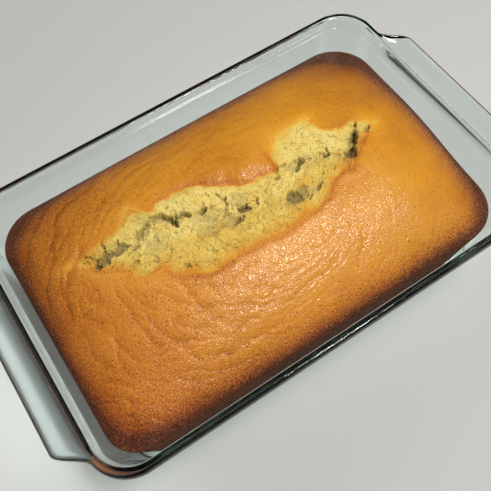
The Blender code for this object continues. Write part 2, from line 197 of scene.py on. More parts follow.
# Pits torn open in the crumb: place along, place across, half length, half width, turn, depth
PITS = (
    (-40.4, 15.2, 1.2, 0.6, -40, 1.6), (-35, 7.8, 1.2, 0.7, -30, 3), (-31, 9, 2, 0.9, 0, 3),
    (-27.4, 7, 1.6, 0.7, -10, 1.6), (-23, -7.6, 2.4, 0.9, 30, 1.6), (-53.8, 5.8, 1.8, 0.8, -10, 1.6),
    (-50.4, 10.4, 1.2, 0.8, 60, 1.2), (-14.4, -3.6, 0.8, 0.6, 0, 1.6), (-4.4, -5.2, 1.2, 0.8, -20, 2.6),
    (-9.6, -9, 1.6, 0.8, 10, 2.4), (20.6, 4.6, 1.3, 0.9, 40, 1.8), (30, 0.8, 1, 0.8, 0, 2.2),
    (24.6, -1, 1.2, 0.7, 20, 1.8), (15.2, 0.6, 0.7, 0.6, 0, 1.6), (7.6, -13.6, 0.9, 0.6, 0, 1.2),
    (22.6, -15.6, 1.8, 0.7, 20, 2), (33.6, -0.4, 0.8, 0.4, 0, 1.2), (38.4, 3, 0.5, 0.5, 0, 1.4),
    (-19.4, 11, 0.5, 0.5, 0, 1.4), (-33.2, 15.4, 0.6, 0.4, 0, 1.6), (-6, 10.6, 0.4, 0.6, 0, 1.2),
    (7.4, 1, 0.6, 0.9, 10, 1.4), (-7.6, 7.8, 0.5, 0.9, 15, 1.2), (31.2, 7.6, 0.5, 0.5, 0, 1.2),
    (-71.6, 9.8, 1.5, 1.2, 20, 4.6), (-66.6, 8.8, 0.6, 0.4, 0, 3.6), (-62.4, 8.6, 0.7, 0.5, 0, 3.6),
    (-40.2, -14.6, 1, 0.7, -30, 2), (-37, -18, 0.6, 0.3, 20, 1), (-29.8, -20.1, 0.9, 0.5, 0, 1),
    (-34.3, 8, 1.2, 0.6, 40, 3.6), (-20.5, 4.2, 2, 1.2, 10, 2.6), (-10.3, 4, 0.9, 0.8, 0, 3.2),
    (-6, -4.4, 2.1, 1.7, 20, 3.6), (-8.8, -2, 1.1, 0.9, 0, 2.6), (-11.4, -8, 2, 1.2, 20, 2.8),
    (-8.4, -7.6, 1, 0.5, 60, 2), (-15.6, -7, 0.5, 0.4, 0, 1.2), (0.9, -5.4, 1.1, 0.8, 60, 2.4),
    (28.6, -13.2, 2.4, 1.1, 15, 2.6), (24, -10.6, 1, 0.7, 0, 1.8), (34.2, -8.2, 0.7, 0.4, 0, 1.8),
    (28.4, 1.6, 1.8, 1.3, 40, 3), (25.6, -0.8, 1.9, 1.1, 30, 2), (21.6, 5, 1.1, 0.7, 20, 2.2),
    (15.8, 1, 0.7, 1, 10, 1.8), (41.6, -1.2, 2.1, 1.1, -20, 3.4), (43.4, 0.4, 0.7, 1.3, 0, 2.6),
    (43, 4.8, 0.6, 0.4, 0, 1.2), (47.4, 18.4, 0.9, 0.7, 40, 2), (35.6, 8.6, 1, 0.5, -20, 0.9),
    (27.6, 10.6, 0.4, 0.3, 0, 1.2), (41, 10.9, 0.4, 0.3, 0, 1), (40, -9.6, 0.6, 0.5, 0, 1.6),
    (46.8, -12.2, 1.2, 0.7, 20, 1.6), (63.9, 5.8, 1.5, 0.8, 60, 3.6), (61.8, 6.6, 0.6, 0.5, 0, 2),
    (-10.2, -3.5, 0.7, 0.5, 0, 2), (-7, -1.6, 1, 0.7, 30, 2.4), (5.4, -22, 0.8, 0.5, 0, 1),
    (8.6, -18.2, 0.8, 0.4, 60, 1), (-49.2, -3.6, 1.4, 0.7, -10, 1.8))

# Narrow slits in the crumb and at its rim: the line each runs along, half width and depth
SLITS = (
    (((-42.4, 16.2), (-40.6, 15.4), (-38.8, 13.8), (-37.2, 12.2), (-35.2, 11.2)), 0.7, 1.9),
    (((-35.4, 10.6), (-34, 9.2), (-31.8, 9.4), (-29.4, 8)), 0.6, 2),
    (((-65.9, 12), (-65.4, 16), (-64.9, 19.2)), 0.5, 3), (((-60.2, 12.2), (-58.6, 14.8)), 0.55, 2.6),
    (((-74.4, 18.8), (-73.5, 17), (-72.2, 14.6)), 0.45, 2), (((-70.8, 16.4), (-70.1, 15)), 0.35, 1.4),
    (((-57.2, 2), (-56.9, 0.4), (-57.9, -1.4)), 0.5, 2.2),
    (((-57, 6.6), (-54.6, 6.2), (-52.6, 4.8)), 0.6, 1.4),
    (((-50, 13.6), (-49.8, 10.2), (-50.6, 7.4)), 0.6, 1.2),
    (((-50, 10.2), (-47.4, 11.9), (-43.6, 13.6)), 0.8, 1.6),
    (((-47.8, 25), (-47.3, 23.8), (-45.6, 22)), 0.35, 1),
    (((-33.4, 8), (-33.9, 5.6), (-33.3, 4.2)), 0.6, 3), (((-30.2, 9), (-29, 6.8), (-27.2, 6.8)), 0.5, 2),
    (((-18.5, 8.6), (-19.2, 6.4)), 0.45, 1.8),
    (((-11.2, 9.6), (-10.8, 6.8), (-10.3, 4), (-10, -0.6)), 0.45, 2.4),
    (((-25.6, -6.6), (-23.9, -9.3), (-20, -7.6), (-17.4, -7.2)), 0.6, 1.6),
    (((-13.2, -14), (-10.4, -14.2), (-9, -13.8)), 0.55, 1.1),
    (((0.6, -6), (1.4, -4.6), (3.6, -3.2)), 0.45, 1.8),
    (((36.4, 16), (38.4, 15.5), (40.3, 16.2)), 0.55, 1.6),
    (((40.4, 16.4), (45.4, 17.4), (47.8, 19.6)), 0.35, 0.9),
    (((-30.8, 2.6), (-30, 0.4), (-32.4, -2.6)), 0.35, 0.8),
    (((-27.4, 0.6), (-25.2, 1.5), (-23, 2.8)), 0.35, 0.9), (((-63.4, -2.3), (-62, -3)), 0.3, 0.9),
    (((31.6, -10.4), (33, -11.8)), 0.4, 1))

# Creases of the crust: the line of each, with the tear's side on its left, and its depth
CREASES = (
    (((-93.5, -8), (-95.2, -13), (-95.4, -20)), 0.35),
    (((-84.2, -8), (-83.8, -16), (-80.6, -20.5), (-81.6, -24), (-84.4, -29.5), (-84, -34), (-81.6, -40)),
      0.6),
    (((-67.4, -14), (-65.3, -20), (-65, -29), (-62.4, -35.5), (-59.8, -40), (-57.3, -46.5), (-53.5, -52)),
      0.6),
    (((-47, -14.5), (-46.4, -22), (-45.6, -30), (-43, -37.5), (-39, -44), (-32, -49)), 0.45),
    (((-51, -36), (-47.4, -42), (-43, -47), (-36, -50.4)), 0.32),
    (((-54, -50), (-40, -51.4), (-28, -52.8), (-16, -52.8), (-4, -51)), 0.42),
    (((-73, -44), (-66, -51), (-58, -55.6), (-46, -58.2)), 0.32),
    (((-32, -37), (-25.4, -43), (-18, -47), (-6, -49)), 0.32),
    (((-2, -55), (10, -55.6), (24, -54.4)), 0.28),
    (((-40.5, 42.2), (-50, 41), (-55, 39.3), (-60, 36), (-67, 29)), 0.5),
    (((-1, 41.6), (-6.6, 44.8), (-10, 43.2), (-20, 43), (-23.6, 44), (-30, 41.2), (-36, 40.4)), 0.6),
    (((14, 41), (9.6, 43.6), (4, 41.6), (-0.8, 40.6)), 0.5),
    (((-29, 38.8), (-38, 37.2), (-45, 34.6), (-53, 30.5)), 0.34),
    (((-12, 50), (-22, 51.2), (-32, 51)), 0.3), (((30, 33), (14, 35), (0, 35.4)), 0.22),
    (((-92, 44), (-96, 34), (-97, 22)), 0.3), (((-78, 42), (-85, 34), (-88.4, 24)), 0.34),
    (((-72.8, 26.5), (-74.8, 22.8), (-76.4, 19.9), (-80, 18.6), (-83.4, 16.6), (-86, 13.4), (-89, 8.6)),
      1.3))

# ---- mesh fineness

CRUST_COLUMNS = 372
CRUST_ROWS = (92, 20, 4, 20, 72)  # near side, near lip, under the crumb, far lip, far side
LIP_BANDS = (-3.5, 4.5, -5.5, 4.5)    # where the two lips' rows start and stop, from the lips
LEAN_ROWS = 8                     # down the leaning sides
HEEL_ROWS = 5                     # round the heel
EDGE_PULL = 0.25                  # how much columns and rows draw together towards the bread's edges
LEAST_HALF = 6.0                  # half the width that the lips' rows keep where the tear ends
SIDE_CELLS = 110                  # bubbles round the bread's sides
CRUMB_COLUMNS = 476
CRUMB_ROWS = 200
DISH_CORNER = 26
DISH_END = 84
DISH_SIDE = 16
DISH_STEPS = 5                    # fine levels of the dish for each of its main levels
ROUNDING_STEPS = 4                # main levels of the roundings at its base


# ---- small tools

def smooth(value):
    """A step from 0 to 1 with level ends: 3v² - 2v³."""
    value = np.clip(value, 0.0, 1.0)
    return value * value * (3.0 - 2.0 * value)


def step(value, start, stop):
    """A smooth step: 0 at start and 1 at stop, either of which may be the larger."""
    return smooth((value - start) / (stop - start))


def bell(distance, width):
    """A round bell 1 high: e to the minus square of the distance in widths."""
    return np.exp(-(distance / width) ** 2)


def mounds(x, y, table):
    """The sum of round mounds: each is a bell along times a bell across, of its own height."""
    return sum(height * np.exp(-((x - place_x) / long) ** 2 - ((y - place_y) / wide) ** 2)
               for place_x, place_y, long, wide, height in table)


def ellipse_reach(x, y, place_x, place_y, long, short, turn):
    """How far out places are in a turned ellipse: 0 in its middle and 1 on its edge."""
    angle = math.radians(turn)
    along = (x - place_x) * math.cos(angle) + (y - place_y) * math.sin(angle)
    across = (y - place_y) * math.cos(angle) - (x - place_x) * math.sin(angle)
    return np.sqrt((along / long) ** 2 + (across / short) ** 2)


def smooth_curve(x, places, heights):
    """A smooth curve through a few points: cubic pieces that meet with equal slopes."""
    places = np.asarray(places)
    heights = np.asarray(heights)
    slopes = np.gradient(heights, places)
    x = np.clip(x, places[0], places[-1])
    piece = np.clip(np.searchsorted(places, x) - 1, 0, len(places) - 2)
    width = places[piece + 1] - places[piece]
    u = (x - places[piece]) / width
    start = heights[piece] + (heights[piece + 1] - heights[piece]) * u * u * (3.0 - 2.0 * u)
    lean_in = slopes[piece] * (u * u * u - 2.0 * u * u + u)
    lean_out = slopes[piece + 1] * (u * u * u - u * u)
    return start + width * (lean_in + lean_out)


def scatter(column, row, seed):
    """Even random numbers from 0 to 1 that depend only on whole-number places: mixed-up products."""
    mixed = column.astype(np.int64) * 374761393 + row.astype(np.int64) * 668265263 + seed * 97463477
    mixed &= 0xFFFFFFFF
    mixed = ((mixed ^ (mixed >> 13)) * 1274126177) & 0xFFFFFFFF
    return ((mixed ^ (mixed >> 16)) & 0xFFFFFF) / float(0xFFFFFF)


def soft_noise(x, y, seed, wrap=None):
    """Smooth noise from -1 to 1: random heights at whole places, joined by 6v⁵ - 15v⁴ + 10v³."""
    column = np.floor(x)
    row = np.floor(y)
    u = x - column
    v = y - row
    u = u * u * u * (u * (6.0 * u - 15.0) + 10.0)
    v = v * v * v * (v * (6.0 * v - 15.0) + 10.0)
    after = column + 1.0
    if wrap:
        column = column % wrap
        after = after % wrap
    low = scatter(column, row, seed) * (1.0 - u) + scatter(after, row, seed) * u
    high = scatter(column, row + 1.0, seed) * (1.0 - u) + scatter(after, row + 1.0, seed) * u
    return 2.0 * (low * (1.0 - v) + high * v) - 1.0


def layered_noise(x, y, seed, layers, fall=0.5):
    """Soft noise on soft noise of half the size and less height."""
    total = np.zeros(np.broadcast(x, y).shape)
    for layer in range(layers):
        total += fall ** layer * soft_noise(x * 2 ** layer + 17.3 * layer, y * 2 ** layer, seed + layer)
    return total


def bent(x, y, amount, size, seeds, layers, fall=0.5):
    """Places moved along and across by layered noise of that size, which makes straight edges ragged."""
    return tuple(place + amount * layered_noise(x / size, y / size, seed, layers, fall)
                 for place, seed in zip((x, y), seeds))


def pillows(x, y, seed):
    """Round lumps with sharp valleys between them: the size of soft noise, on bent coordinates."""
    bent_x = x + 0.35 * soft_noise(x * 0.9 + 5.0, y * 0.9, seed + 1)
    bent_y = y + 0.35 * soft_noise(x * 0.9, y * 0.9 + 5.0, seed + 2)
    return 2.0 * np.abs(soft_noise(bent_x, bent_y, seed)) - 0.7


def wrinkles(around, outward, bends, seed):
    """Grooves one after another on a ring, each from -1 to 0, that bend, come and go with soft noise.

    A groove falls slowly from its inner side and rises quickly on its outer one, by exponentials.
    The way around goes from 0 to 1, and outward counts the grooves.
    """
    around = around * bends
    phase = outward + 0.55 * soft_noise(around, outward * 0.45, seed, wrap=bends)
    number = np.round(phase)
    beyond = phase - number
    groove = np.exp(-np.abs(beyond) / np.where(beyond < 0.0, 0.16, 0.06))
    present = soft_noise(around * 1.5, number * 3.7, seed + 1, wrap=bends * 3 // 2)
    return -groove * smooth(0.45 + 1.3 * present)


def nearest_dot(x, y, seed):
    """Distance to the nearest of dots scattered one to a cell, and that dot's random number."""
    column = np.floor(x)
    row = np.floor(y)
    best = np.full(np.broadcast(x, y).shape, 9.0)
    number = np.zeros_like(best)
    for across in (-1.0, 0.0, 1.0):
        for along in (-1.0, 0.0, 1.0):
            near_column = column + across
            near_row = row + along
            dot_x = near_column + scatter(near_column, near_row, seed)
            dot_y = near_row + scatter(near_column, near_row, seed + 1)
            distance = np.hypot(x - dot_x, y - dot_y)
            closer = distance < best
            best = np.where(closer, distance, best)
            number = np.where(closer, scatter(near_column, near_row, seed + 2), number)
    return best, number


def clumps(x, y, seed):
    """Rounded clumps with sharp valleys between them: less the squared distance to the nearest dot."""
    bent_x = x + 0.45 * layered_noise(x * 0.8 + 3.0, y * 0.8, seed + 1, 3)
    bent_y = y + 0.45 * layered_noise(x * 0.8, y * 0.8 + 3.0, seed + 2, 3)
    distance, number = nearest_dot(bent_x, bent_y, seed)
    return 0.55 - 1.5 * distance ** 2 + 0.5 * (number - 0.5)


def line_distance(x, y, line):
    """Distance from points to a broken line, which side of it they are on, and how far along it.

    The distance is the least over its straight pieces. The side is 1 on the left and -1 on the
    right of the nearest piece, and the way along goes from 0 to 1.
    """
    best = np.full(x.shape, 1e9)
    side = np.ones(x.shape)
    share = np.zeros(x.shape)
    pieces = len(line) - 1
    for number, ((x0, y0), (x1, y1)) in enumerate(zip(line[:-1], line[1:])):
        run_x = x1 - x0
        run_y = y1 - y0
        along = ((x - x0) * run_x + (y - y0) * run_y) / (run_x * run_x + run_y * run_y)
        along = np.clip(along, 0.0, 1.0)
        distance = np.hypot(x - x0 - along * run_x, y - y0 - along * run_y)
        closer = distance < best
        best = np.where(closer, distance, best)
        side = np.where(closer, np.where(run_x * (y - y0) >= run_y * (x - x0), 1.0, -1.0), side)
        share = np.where(closer, (number + along) / pieces, share)
    return best, side, share


def outline_depth(x, y, outline):
    """Distance inside a closed outline, less than nothing outside.

    A point is inside where an odd number of the outline's pieces cross the line to its right.
    """
    closed = (*outline, outline[0])
    within = np.zeros(x.shape, dtype=bool)
    for (x0, y0), (x1, y1) in zip(outline, closed[1:]):
        if y0 != y1:
            crossing = ((y0 > y) != (y1 > y)) & (x < (x1 - x0) * (y - y0) / (y1 - y0) + x0)
            within ^= crossing
    distance = line_distance(x, y, closed)[0]
    return np.where(within, distance, -distance)


def grid_quads(columns, rows, start=0):
    """Quads of a grid whose points count up along its rows first, facing up for x, y grids."""
    corner = start + np.arange(columns - 1)[:, None] * rows + np.arange(rows - 1)[None, :]
    corner = corner.ravel()
    return np.column_stack([corner, corner + rows, corner + rows + 1, corner + 1])


def belt_quads(upper, lower):
    """Quads of a closed belt between two rings of point numbers."""
    return np.column_stack([upper, lower, np.roll(lower, -1), np.roll(upper, -1)])


def make_piece(name, points, quads, caps, material, attributes=None):
    """One mesh object from millimetre points, quads and a few larger flat faces, riding on the root."""
    mesh = bpy.data.meshes.new(name)
    mesh.vertices.add(len(points))
    mesh.vertices.foreach_set("co", (points * MM).astype(np.float32).ravel())
    corners = np.concatenate([quads.ravel()] + [np.asarray(cap) for cap in caps]).astype(np.int32)
    sizes = np.array([4] * len(quads) + [len(cap) for cap in caps])
    starts = np.concatenate([[0], np.cumsum(sizes)[:-1]]).astype(np.int32)
    mesh.loops.add(len(corners))
    mesh.loops.foreach_set("vertex_index", corners)
    mesh.polygons.add(len(sizes))
    mesh.polygons.foreach_set("loop_start", starts)
    mesh.update(calc_edges=True)
    for label, values in (attributes or {}).items():
        layer = mesh.attributes.new(label, "FLOAT", "POINT")
        layer.data.foreach_set("value", np.asarray(values, np.float32).ravel())
    mesh.shade_smooth()
    mesh.materials.append(material)
    piece = bpy.data.objects.new(name, mesh)
    bpy.context.scene.collection.objects.link(piece)
    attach(piece, "root")
    return piece


# ---- materials

def linear(code):
    """An sRGB hex colour as linear red, green, blue and 1."""
    values = [int(code[i:i + 2], 16) / 255.0 for i in (1, 3, 5)]
    values = [v / 12.92 if v <= 0.04045 else ((v + 0.055) / 1.055) ** 2.4 for v in values]
    return (*values, 1.0)


def add(tree, kind, inputs=None, stops=(), **settings):
    """A node with its settings. Its inputs, by name or number, take values or links.

    A colour ramp's stops are its places from 0 to 1 and their hex colours.
    """
    node = tree.nodes.new(kind)
    for label, value in settings.items():
        setattr(node, label, value)
    for label, value in (inputs or {}).items():
        if isinstance(value, bpy.types.NodeSocket):
            tree.links.new(value, node.inputs[label])
        else:
            node.inputs[label].default_value = value
    if stops:
        elements = node.color_ramp.elements
        for _ in stops[2:]:
            elements.new(0.5)
        for element, (place, code) in zip(elements, stops):
            element.position = place
            element.color = linear(code)
    return node


def new_material(name):
    """An empty node material and its output node."""
    material = bpy.data.materials.new(name)
    material.use_nodes = True
    tree = material.node_tree
    tree.nodes.clear()
    return material, tree, add(tree, "ShaderNodeOutputMaterial")


def weighted(tree, start, *terms, clamp=False):
    """A start plus products, each of a socket and its weight; clamp keeps the sum from 0 to 1."""
    for number, (value, weight) in enumerate(terms, 1):
        start = add(tree, "ShaderNodeMath", {0: value, 1: weight, 2: start}, operation="MULTIPLY_ADD",
                    use_clamp=clamp and number == len(terms)).outputs[0]
    return start


def coated(tree, colour, *coats):
    """A colour under coats, each with its share from 0 to 1, its strength and its hex colour or socket."""
    for share, strength, coat in coats:
        cover = weighted(tree, 0.0, (share, strength))
        coat = linear(coat) if isinstance(coat, str) else coat
        colour = add(tree, "ShaderNodeMix", {0: cover, 6: colour, 7: coat}, data_type="RGBA").outputs[2]
    return colour


CRUST_BROWNING = (
    (0.00, "#f0c957"), (0.14, "#ebb345"), (0.32, "#e29b38"), (0.48, "#d1812c"),
    (0.62, "#b0601c"), (0.76, "#8a4410"), (0.88, "#682e0a"), (1.00, "#441d07"))
CRUST_GOLD = (
    (0.00, "#f2d060"), (0.14, "#eebc44"), (0.32, "#e5a732"), (0.48, "#d49224"),
    (0.62, "#b4701b"), (0.76, "#8c4e11"), (0.88, "#68320c"), (1.00, "#441f08"))
CRUMB_TOASTING = (
    (0.00, "#eeda86"), (0.30, "#e7cc6c"), (0.60, "#dcb652"), (0.85, "#dc9e3a"), (1.00, "#d58a2b"))
CRUST_PORE = "#5e2d10"
CRUMB_PORE = "#755422"
CRUMB_SHADE = "#b08a3e"
# Moist crumb, greyed further as painted shade in valleys, along the crevice and in pits
DAMP_CRUMB_AND_SHADE = "#a99b66"
# Painted shade deep in the crevice, pits and pores
PIT_SHADE = "#5a4720"


def baked_bread():
    """Baked batter: a sugary crust browned by the oven that pales to open banana crumb where it tore.

    The crust is thin and slightly moist. Its grain, of 1.3 and 0.6 mm, is drawn as coarse as it needs
    to show and gives the small glints, and it has pin-prick pores. It is drier and rougher on the left
    and along its edges. The crumb is matt, soft and lets light a little way in. The mesh brings the
    share of crumb, the browning with painted shade in the crust's creases, how golden its brown is, the
    toasting of the crumb, moist crumb with painted shade in its valleys and hollows, painted shade
    deep in its pits, and where the crust is dry or matt.
    """
    material, tree, output = new_material("baked_bread")
    place = add(tree, "ShaderNodeTexCoord").outputs["Object"]
    crumb, browning, toasting, damp_and_shade, deep, gold, dry, matt = (
        add(tree, "ShaderNodeAttribute", attribute_name=label).outputs["Fac"]
        for label in ("crumb", "browning", "toasting", "damp_and_shade", "deep", "gold", "dry", "matt"))
    blotches, grain, fine = (
        add(tree, "ShaderNodeTexNoise", {"Vector": place, "Scale": 1 / (size * MM), "Detail": detail,
                                         "Roughness": roughness}).outputs["Fac"]
        for size, detail, roughness in ((14.0, 5.0, 0.6), (1.3, 1.0, 0.5), (0.6, 0.0, 0.5)))
    glint = add(tree, "ShaderNodeMapRange", {"Value": fine, "From Min": 0.38, "From Max": 0.60},
                interpolation_type="SMOOTHSTEP").outputs["Result"]
    to_pore = add(tree, "ShaderNodeTexVoronoi",
                  {"Vector": place, "Scale": 1 / (2.7 * MM)}).outputs["Distance"]
    pore = weighted(tree, 1.82, (to_pore, -14.0), clamp=True)

    # Browning deepens on the grain's high points, most of all where the crust is dark
    grain_tone = weighted(tree, 0.0, (dry, 0.15), (browning, 0.58))
    tone = weighted(tree, -0.06, (browning, 1.0), (blotches, 0.12),
                    (weighted(tree, -0.5, (fine, 1.0)), grain_tone), clamp=True)
    brown, golden = (add(tree, "ShaderNodeValToRGB", {"Fac": tone}, stops).outputs["Color"]
                     for stops in (CRUST_BROWNING, CRUST_GOLD))
    crust_colour = coated(tree, brown, (gold, 1.0, golden), (pore, 0.75, CRUST_PORE))

    toasted = weighted(tree, -0.15, (toasting, 1.0), (grain, 0.3), clamp=True)
    crumb_colour = add(tree, "ShaderNodeValToRGB", {"Fac": toasted}, CRUMB_TOASTING).outputs["Color"]
    low = weighted(tree, 0.5, (fine, -1.0), clamp=True)
    # Painted shade on the grain's low points, moist crumb with painted shade in valleys and pits, and pores
    crumb_colour = coated(tree, crumb_colour, (low, 1.0, CRUMB_SHADE), (damp_and_shade, 0.80, DAMP_CRUMB_AND_SHADE),
                          (pore, 0.80, CRUMB_PORE))
    # Painted shade deep in the crevice and pits
    colour = coated(tree, crust_colour, (crumb, 1.0, crumb_colour), (deep, 0.75, PIT_SHADE))

    roughness = weighted(tree, 0.18, (blotches, 0.12), (glint, 0.30), (dry, 0.08), (matt, 0.28),
                         (crumb, 0.45), clamp=True)
    height = weighted(tree, 0.0, (grain, 0.45), (fine, 0.55), (pore, -0.8))
    height = weighted(tree, 0.0, (height, weighted(tree, 0.46, (crumb, 0.50), (dry, 0.32))))
    bump = add(tree, "ShaderNodeBump", {"Height": height, "Strength": 1.0, "Distance": 0.6 * MM})
    shader = add(tree, "ShaderNodeBsdfPrincipled", {
        "Base Color": colour, "Roughness": roughness, "Normal": bump.outputs["Normal"], "IOR": 1.5,
        "Subsurface Weight": 0.05, "Subsurface Scale": 0.5 * MM, "Subsurface Radius": (1.0, 0.55, 0.22)})
    tree.links.new(shader.outputs[0], output.inputs["Surface"])
    return material


def pressed_glass():
    """Pressed soda-lime glass: clear, smooth, a little wavy, and blue-green where it is thick.

    Light passes straight through it to what it shades.
    """
    material, tree, output = new_material("pressed_glass")
    place = add(tree, "ShaderNodeTexCoord").outputs["Object"]
    waves = add(tree, "ShaderNodeTexNoise", {"Vector": place, "Scale": 1 / (22 * MM), "Detail": 1.0})
    bump = add(tree, "ShaderNodeBump",
               {"Height": waves.outputs["Fac"], "Strength": 0.25, "Distance": 0.5 * MM})
    glass = add(tree, "ShaderNodeBsdfPrincipled", {
        "Base Color": linear("#f4fbfa"), "Roughness": 0.015, "IOR": 1.5, "Transmission Weight": 1.0,
        "Normal": bump.outputs["Normal"]})
    clear = add(tree, "ShaderNodeBsdfTransparent", {"Color": linear("#f7fbfa")})
    shadow = add(tree, "ShaderNodeLightPath").outputs["Is Shadow Ray"]
    both = add(tree, "ShaderNodeMixShader", {0: shadow, 1: glass.outputs[0], 2: clear.outputs[0]})
    tree.links.new(both.outputs[0], output.inputs["Surface"])
    absorb = add(tree, "ShaderNodeVolumeAbsorption", {"Color": linear("#4fb0a0"), "Density": 13.0})
    tree.links.new(absorb.outputs[0], output.inputs["Volume"])
    return material


def matt_board():
    """Matt painted board: the plain pale surface that the dish stands on."""
    material, tree, output = new_material("matt_board")
    shader = add(tree, "ShaderNodeBsdfPrincipled",
                 {"Base Color": linear("#c9cbce"), "Roughness": 0.75, "IOR": 1.4})
    tree.links.new(shader.outputs[0], output.inputs["Surface"])
    return material


# ---- bread

def tear_lips(x):
    """Far and near lip of the tear at places along the bread."""
    return smooth_curve(x, TEAR_X, FAR_LIP), smooth_curve(x, TEAR_X, NEAR_LIP)


def over_tear(x, y):
    """How far places lie beyond the middle of the tear, towards the far side."""
    return y - sum(tear_lips(x)) / 2.0


def inside_tear(x, y):
    """How far a point lies inside the tear, less than nothing outside: a ragged edge, by soft noise."""
    return outline_depth(*bent(x, y, 0.55, 4.4, (21, 31), 4, fall=0.6), TEAR_EDGE)


def edge_softness(x, y):
    """How gradually crust turns to crumb, from 0 at the sharp lips to 1 at the stretched ends."""
    ends = 0.40 * step(x, -44.0, -56.0) + 0.7 * step(x, 62.0, 72.0)
    return np.clip(ends + mounds(x, y, STRETCHED), 0.0, 1.0)


def edge_distance(x, y):
    """Distance in from the bread's rounded outline, seen from above."""
    over_x = np.abs(x) - (LOAF_X - LOAF_R)
    over_y = np.abs(y) - (LOAF_Y - LOAF_R)
    beyond = np.hypot(np.maximum(over_x, 0.0), np.maximum(over_y, 0.0))
    return np.maximum(LOAF_R - beyond - np.minimum(np.maximum(over_x, over_y), 0.0), 0.0)


def dome_height(s, t):
    """Height of the whole crust for places s, t from -1 to 1: a power falling off on each axis."""
    along = np.clip(1.0 - np.abs(s) ** DOME_POWER_X, 0.0, 1.0) ** DOME_EDGE
    across = np.clip(1.0 - np.abs(t) ** DOME_POWER_Y, 0.0, 1.0) ** DOME_EDGE
    return SHOULDER_Z + DOME * along * across


def crust_relief(x, y, aside, to_edge):
    """Wrinkles that ring the crown, wide on the left and tight in front, creases, swells and pebbling.

    Also how deep in a wrinkle or a crease each place lies, from 0 to 1: the mask of the painted shade in
    them.
    """
    across = y - RING_MIDDLE[1]
    along = (x - RING_MIDDLE[0]) / RING_STRETCH
    around = np.arctan2(across, along) / (2.0 * math.pi)
    ring = np.hypot(along, across)
    for size, amount, seed in RING_SWAY:
        ring = ring + amount * soft_noise(x / size, y / size, seed)
    left = step(x, 0.0, -40.0)
    calm = 1.0 - 0.65 * step(x, 15.0, 60.0)
    strengths = ((0.25 + 0.15 * left) * calm, (0.26 + 0.18 * left) * calm, 0.11 + 0.13 * mounds(x, y, FRONT))
    fade = step(aside, 1.0, 7.0) * step(to_edge, 1.0, 8.0)
    grooves = fade * sum(strength * wrinkles(around, ring / spacing, bends, seed)
                         for strength, (spacing, bends, seed) in zip(strengths, WRINKLES))
    pebbles = (0.05 + 0.09 * (y > 0.0)) * soft_noise(x / 1.6, y / 1.6, 71)
    pebbles += 0.12 * pillows(x / 4.0, y / 3.2, 73)
    pebbles *= (0.2 + 0.8 * mounds(x, y, GLAZED)) * step(aside, 0.0, 3.0)
    grain = 0.04 * soft_noise(x / 1.2, y / 1.2, 75)
    swells = 0.6 * layered_noise(x / 34.0, y / 26.0, 77, 2) * step(to_edge, 0.0, 20.0)
    crease, fold = creases(x, y)
    # The second value masks the painted shade that darkens wrinkle grooves and creases
    return grooves + pebbles + grain + swells + crease, np.clip(fold - 1.6 * grooves, 0.0, 1.0)


def creases(x, y):
    """Height of the crust's long creases, and how near one is, from 0 to 1: the mask of their painted shade.

    Each is a rounded groove, a bell that is wider on the tear's side. On its other side a rounded
    fold stands a little higher.
    """
    bent_x, bent_y = bent(x, y, 0.5, 4.0, (83, 87), 2)
    height = np.zeros_like(x)
    near = np.zeros_like(x)
    for line, depth in CREASES:
        distance, side, share = line_distance(bent_x, bent_y, line)
        strength = depth * step(share, 0.0, 0.2) * step(share, 1.0, 0.8)
        fold = 0.22 * bell(distance - 2.6, 2.2) * step(distance, 0.0, 3.0)
        groove = bell(distance, np.where(side > 0, 2.0, 1.3))
        height += 0.60 * strength * (np.where(side > 0, 0.0, fold) - groove)
        # Nearness to a crease, the mask of its painted shade
        near = np.maximum(near, 1.6 * strength * np.exp(-distance / 0.6))
    return height, near


def lip_relief(x, y, aside):
    """Rounded lips: the far one falls to the tear as a parabola, the near one stands up as a low bell."""
    far_side = step(over_tear(x, y), -3.0, 3.0)
    far_strong = step(x, -42.0, -32.0) * step(x, 19.5, 16.5) * (0.55 + 0.45 * bell(x - 2.0, 16.0))
    far_roll = -LIP_DROP * np.clip(1.0 - aside / LIP_OUT, 0.0, 1.0) ** 2
    near_strong = step(x, -50.0, -38.0) * step(x, 58.0, 48.0)
    near_roll = 0.15 * bell(aside - 3.0, 2.2) - 0.15 * np.exp(-aside)
    return far_roll * far_strong * far_side + near_roll * near_strong * (1.0 - far_side)


def crumb_level(x, y):
    """Main form of the open crumb: two halves that fall towards a crevice, and how deep that is.

    Each half drops by a power of its nearness to the crevice. The crevice drops sharply at the far
    half's torn edge and rises slowly, as a bell, towards the near half. Also how far beyond the
    crevice's edge each place lies.
    """
    far, near = tear_lips(x)
    across, depth, reach = (smooth_curve(x, CREVICE[0], CREVICE[i]) for i in (1, 2, 3))
    jagged = 1.1 * layered_noise(x / 3.2, y / 3.2, 81, 3, fall=0.65)
    beside = y - across - jagged
    near_part = np.clip((across - y) / np.maximum(across - near, 2.0), 0.0, 1.0)
    far_part = np.clip((y - across) / np.maximum(far - across, 2.0), 0.0, 1.0)
    near_half = -NEAR_DROP * (1.0 - near_part) ** 2.2 - 0.5 * step(near_part, 0.75, 1.0)
    far_half = -FAR_DROP * (1.0 - far_part) ** 1.4
    blend = step(beside, -0.5, 0.5)
    trench = depth * bell(np.maximum(-beside, 0.0), reach) * (1.0 - blend)
    return near_half * (1.0 - blend) + far_half * blend - trench, trench, beside


def table_place(x, y, depth):
    """Where the tables have a place of the crumb that lies some depth below the crust's level.

    The tables are drawn on the crust's level as looked at from in front on the left, so the place
    moves towards there by its depth times the slope of that line of sight.
    """
    eye_x, eye_y, eye_z = TABLE_EYE
    return x - depth * (x - eye_x) / eye_z, y - depth * (y - eye_y) / eye_z


